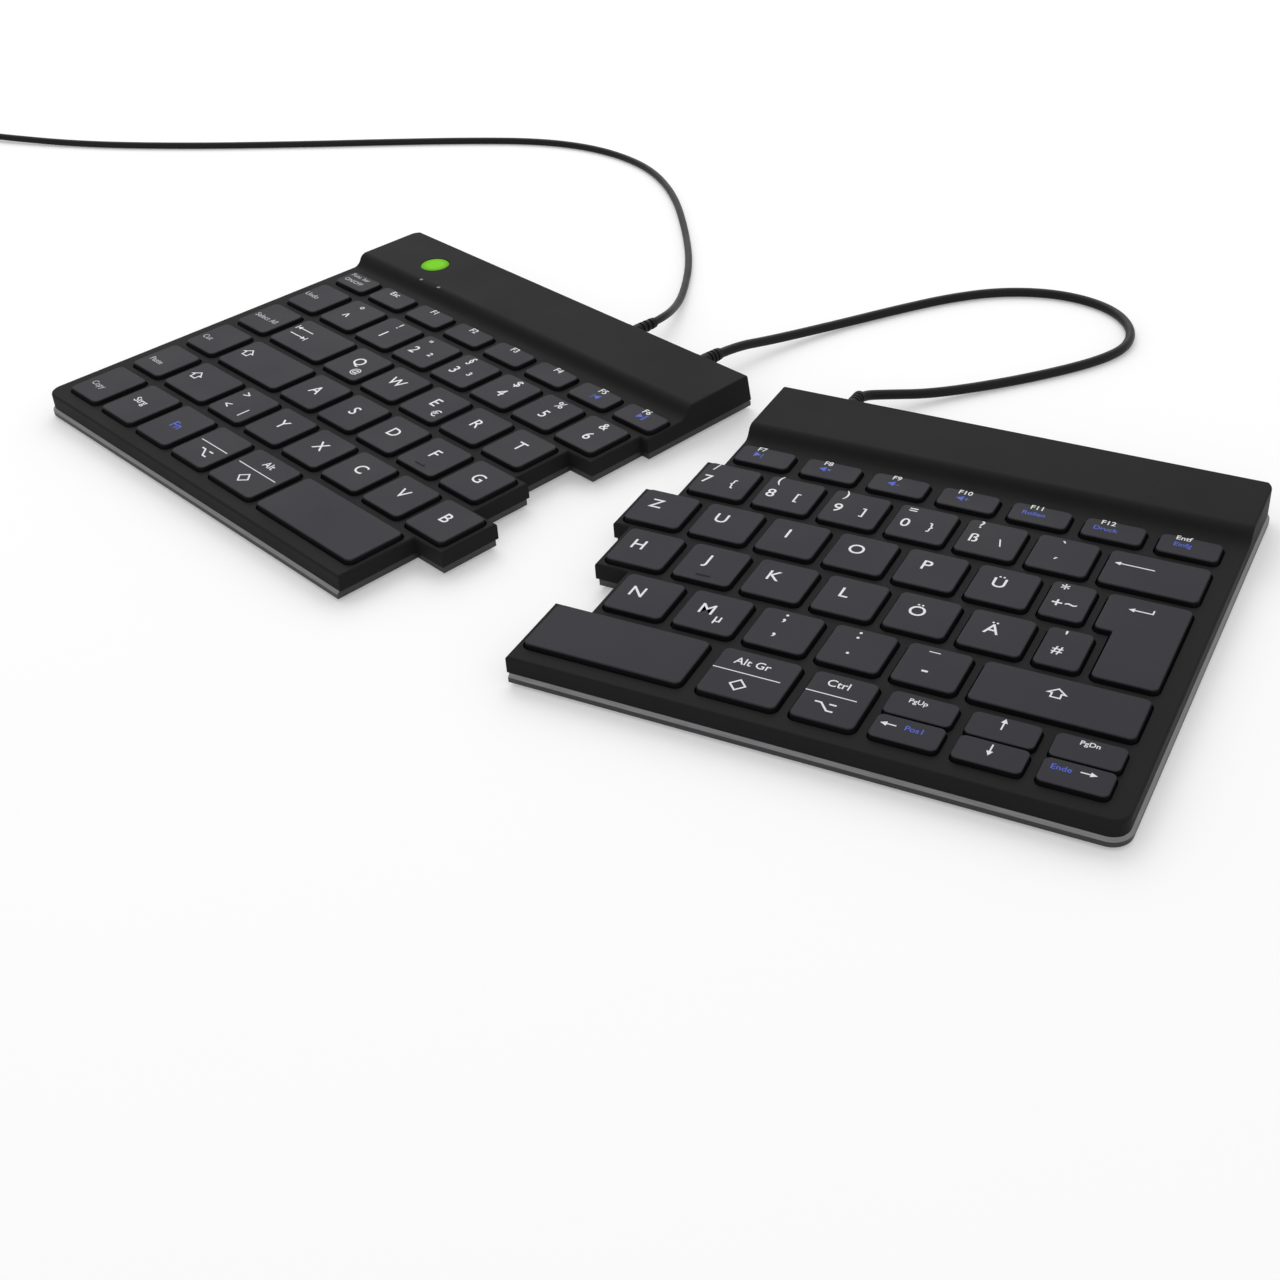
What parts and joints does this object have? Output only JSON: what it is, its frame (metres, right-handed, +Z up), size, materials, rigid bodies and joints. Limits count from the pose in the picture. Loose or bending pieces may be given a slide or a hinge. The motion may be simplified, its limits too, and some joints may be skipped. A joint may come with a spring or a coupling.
{
  "type": "ergonomic split keyboard",
  "caption": "Flat ergonomic keyboard in two splayed halves on steel plates, joined by a looped cable, with sprung keys and a lead with a plug.",
  "frame": {"origin": "middle of the two halves' bounding box on the desk, without the cables", "axes": "+X to the user's right along the keyboard, +Y away from the user, +Z up"},
  "size_m": [0.6521, 0.2804, 0.0117],
  "materials": {
    "casing_plastic": "matte black-grey, fine grain",
    "key_plastic": "satin dark grey",
    "plate_steel": "grey painted edge, bright chamfer",
    "sheet_steel": "plain rolled",
    "membrane_film": "clear film with printed tracks",
    "dome_rubber": "translucent silicone",
    "board_green": "solder-masked board",
    "lens_green": "lit green lens",
    "led_clear": "unlit clear pin",
    "cable_black": "satin black jacket",
    "relief_black": "matte black",
    "foot_rubber": "matte",
    "screw_steel": "zinc plated",
    "tie_fabric": "black hook-and-loop strap",
    "plug_plastic": "black overmould",
    "plug_metal": "plated"
  },
  "bodies": {
    "casing": {"base_screws": "screw_steel", "cable_tie": "tie_fabric", "indicator_lens": "lens_green", "left_base_plate": "plate_steel", "left_circuit_board": "board_green", "left_key_support_sheet": "sheet_steel", "left_link_strain_relief": "relief_black", "left_membrane": "membrane_film", "left_rubber_domes": "dome_rubber", "left_top_cover": "casing_plastic", "link_cable": "cable_black", "right_base_plate": "plate_steel", "right_circuit_board": "board_green", "right_key_support_sheet": "sheet_steel", "right_link_strain_relief": "relief_black", "right_membrane": "membrane_film", "right_rubber_domes": "dome_rubber", "right_top_cover": "casing_plastic", "rubber_feet": "foot_rubber", "status_leds": "led_clear", "usb_lead": "cable_black", "usb_lead_coil": "cable_black", "usb_plug": "plug_plastic", "usb_plug_shell": "plug_metal", "usb_strain_relief": "relief_black"},
    "alt_gr_key_body": {"alt_gr_key": "key_plastic"},
    "alt_key_body": {"alt_key": "key_plastic"},
    "backspace_key_body": {"backspace_key": "key_plastic"},
    "caps_lock_key_body": {"caps_lock_key": "key_plastic"},
    "delete_key_body": {"delete_key": "key_plastic"},
    "down_arrow_key_body": {"down_arrow_key": "key_plastic"},
    "enter_key_body": {"enter_key": "key_plastic"},
    "escape_key_body": {"escape_key": "key_plastic"},
    "f_homing_key_body": {"f_homing_key": "key_plastic"},
    "fn_key_body": {"fn_key": "key_plastic"},
    "j_homing_key_body": {"j_homing_key": "key_plastic"},
    "left_arrow_key_body": {"left_arrow_key": "key_plastic"},
    "left_control_key_body": {"left_control_key": "key_plastic"},
    "left_function_keys_body": {"left_function_keys": "key_plastic"},
    "left_home_letter_keys_body": {"left_home_letter_keys": "key_plastic"},
    "left_lower_letter_keys_body": {"left_lower_letter_keys": "key_plastic"},
    "left_number_keys_body": {"left_number_keys": "key_plastic"},
    "left_shift_key_body": {"left_shift_key": "key_plastic"},
    "left_space_key_body": {"left_space_key": "key_plastic"},
    "left_upper_letter_keys_body": {"left_upper_letter_keys": "key_plastic"},
    "macro_keys_body": {"macro_keys": "key_plastic"},
    "option_key_body": {"option_key": "key_plastic"},
    "page_down_key_body": {"page_down_key": "key_plastic"},
    "page_up_key_body": {"page_up_key": "key_plastic"},
    "right_arrow_key_body": {"right_arrow_key": "key_plastic"},
    "right_control_key_body": {"right_control_key": "key_plastic"},
    "right_function_keys_body": {"right_function_keys": "key_plastic"},
    "right_home_letter_keys_body": {"right_home_letter_keys": "key_plastic"},
    "right_lower_letter_keys_body": {"right_lower_letter_keys": "key_plastic"},
    "right_number_keys_body": {"right_number_keys": "key_plastic"},
    "right_shift_key_body": {"right_shift_key": "key_plastic"},
    "right_space_key_body": {"right_space_key": "key_plastic"},
    "right_upper_letter_keys_body": {"right_upper_letter_keys": "key_plastic"},
    "tab_key_body": {"tab_key": "key_plastic"},
    "up_arrow_key_body": {"up_arrow_key": "key_plastic"}
  },
  "joints": [
    {"name": "alt_gr_key_travel", "type": "slide", "parent": "casing", "child": "alt_gr_key_body", "axis": [0, 0, -1], "range_m": [0, 0.0018], "stiffness_N_per_m": 300},
    {"name": "alt_key_travel", "type": "slide", "parent": "casing", "child": "alt_key_body", "axis": [0, 0, -1], "range_m": [0, 0.0018], "stiffness_N_per_m": 300},
    {"name": "backspace_key_travel", "type": "slide", "parent": "casing", "child": "backspace_key_body", "axis": [0, 0, -1], "range_m": [0, 0.0018], "stiffness_N_per_m": 300},
    {"name": "caps_lock_key_travel", "type": "slide", "parent": "casing", "child": "caps_lock_key_body", "axis": [0, 0, -1], "range_m": [0, 0.0018], "stiffness_N_per_m": 300},
    {"name": "delete_key_travel", "type": "slide", "parent": "casing", "child": "delete_key_body", "axis": [0, 0, -1], "range_m": [0, 0.0018], "stiffness_N_per_m": 300},
    {"name": "down_arrow_key_travel", "type": "slide", "parent": "casing", "child": "down_arrow_key_body", "axis": [0, 0, -1], "range_m": [0, 0.0018], "stiffness_N_per_m": 300},
    {"name": "enter_key_travel", "type": "slide", "parent": "casing", "child": "enter_key_body", "axis": [0, 0, -1], "range_m": [0, 0.0018], "stiffness_N_per_m": 300},
    {"name": "escape_key_travel", "type": "slide", "parent": "casing", "child": "escape_key_body", "axis": [0, 0, -1], "range_m": [0, 0.0018], "stiffness_N_per_m": 300},
    {"name": "f_homing_key_travel", "type": "slide", "parent": "casing", "child": "f_homing_key_body", "axis": [0, 0, -1], "range_m": [0, 0.0018], "stiffness_N_per_m": 300},
    {"name": "fn_key_travel", "type": "slide", "parent": "casing", "child": "fn_key_body", "axis": [0, 0, -1], "range_m": [0, 0.0018], "stiffness_N_per_m": 300},
    {"name": "j_homing_key_travel", "type": "slide", "parent": "casing", "child": "j_homing_key_body", "axis": [0, 0, -1], "range_m": [0, 0.0018], "stiffness_N_per_m": 300},
    {"name": "left_arrow_key_travel", "type": "slide", "parent": "casing", "child": "left_arrow_key_body", "axis": [0, 0, -1], "range_m": [0, 0.0018], "stiffness_N_per_m": 300},
    {"name": "left_control_key_travel", "type": "slide", "parent": "casing", "child": "left_control_key_body", "axis": [0, 0, -1], "range_m": [0, 0.0018], "stiffness_N_per_m": 300},
    {"name": "left_function_keys_travel", "type": "slide", "parent": "casing", "child": "left_function_keys_body", "axis": [0, 0, -1], "range_m": [0, 0.0018], "stiffness_N_per_m": 1800},
    {"name": "left_home_letter_keys_travel", "type": "slide", "parent": "casing", "child": "left_home_letter_keys_body", "axis": [0, 0, -1], "range_m": [0, 0.0018], "stiffness_N_per_m": 1200},
    {"name": "left_lower_letter_keys_travel", "type": "slide", "parent": "casing", "child": "left_lower_letter_keys_body", "axis": [0, 0, -1], "range_m": [0, 0.0018], "stiffness_N_per_m": 1800},
    {"name": "left_number_keys_travel", "type": "slide", "parent": "casing", "child": "left_number_keys_body", "axis": [0, 0, -1], "range_m": [0, 0.0018], "stiffness_N_per_m": 2100},
    {"name": "left_shift_key_travel", "type": "slide", "parent": "casing", "child": "left_shift_key_body", "axis": [0, 0, -1], "range_m": [0, 0.0018], "stiffness_N_per_m": 300},
    {"name": "left_space_key_travel", "type": "slide", "parent": "casing", "child": "left_space_key_body", "axis": [0, 0, -1], "range_m": [0, 0.0018], "stiffness_N_per_m": 300},
    {"name": "left_upper_letter_keys_travel", "type": "slide", "parent": "casing", "child": "left_upper_letter_keys_body", "axis": [0, 0, -1], "range_m": [0, 0.0018], "stiffness_N_per_m": 1500},
    {"name": "macro_keys_travel", "type": "slide", "parent": "casing", "child": "macro_keys_body", "axis": [0, 0, -1], "range_m": [0, 0.0018], "stiffness_N_per_m": 1800},
    {"name": "option_key_travel", "type": "slide", "parent": "casing", "child": "option_key_body", "axis": [0, 0, -1], "range_m": [0, 0.0018], "stiffness_N_per_m": 300},
    {"name": "page_down_key_travel", "type": "slide", "parent": "casing", "child": "page_down_key_body", "axis": [0, 0, -1], "range_m": [0, 0.0018], "stiffness_N_per_m": 300},
    {"name": "page_up_key_travel", "type": "slide", "parent": "casing", "child": "page_up_key_body", "axis": [0, 0, -1], "range_m": [0, 0.0018], "stiffness_N_per_m": 300},
    {"name": "right_arrow_key_travel", "type": "slide", "parent": "casing", "child": "right_arrow_key_body", "axis": [0, 0, -1], "range_m": [0, 0.0018], "stiffness_N_per_m": 300},
    {"name": "right_control_key_travel", "type": "slide", "parent": "casing", "child": "right_control_key_body", "axis": [0, 0, -1], "range_m": [0, 0.0018], "stiffness_N_per_m": 300},
    {"name": "right_function_keys_travel", "type": "slide", "parent": "casing", "child": "right_function_keys_body", "axis": [0, 0, -1], "range_m": [0, 0.0018], "stiffness_N_per_m": 1800},
    {"name": "right_home_letter_keys_travel", "type": "slide", "parent": "casing", "child": "right_home_letter_keys_body", "axis": [0, 0, -1], "range_m": [0, 0.0018], "stiffness_N_per_m": 1800},
    {"name": "right_lower_letter_keys_travel", "type": "slide", "parent": "casing", "child": "right_lower_letter_keys_body", "axis": [0, 0, -1], "range_m": [0, 0.0018], "stiffness_N_per_m": 1500},
    {"name": "right_number_keys_travel", "type": "slide", "parent": "casing", "child": "right_number_keys_body", "axis": [0, 0, -1], "range_m": [0, 0.0018], "stiffness_N_per_m": 1800},
    {"name": "right_shift_key_travel", "type": "slide", "parent": "casing", "child": "right_shift_key_body", "axis": [0, 0, -1], "range_m": [0, 0.0018], "stiffness_N_per_m": 300},
    {"name": "right_space_key_travel", "type": "slide", "parent": "casing", "child": "right_space_key_body", "axis": [0, 0, -1], "range_m": [0, 0.0018], "stiffness_N_per_m": 300},
    {"name": "right_upper_letter_keys_travel", "type": "slide", "parent": "casing", "child": "right_upper_letter_keys_body", "axis": [0, 0, -1], "range_m": [0, 0.0018], "stiffness_N_per_m": 2100},
    {"name": "tab_key_travel", "type": "slide", "parent": "casing", "child": "tab_key_body", "axis": [0, 0, -1], "range_m": [0, 0.0018], "stiffness_N_per_m": 300},
    {"name": "up_arrow_key_travel", "type": "slide", "parent": "casing", "child": "up_arrow_key_body", "axis": [0, 0, -1], "range_m": [0, 0.0018], "stiffness_N_per_m": 300}
  ]
}
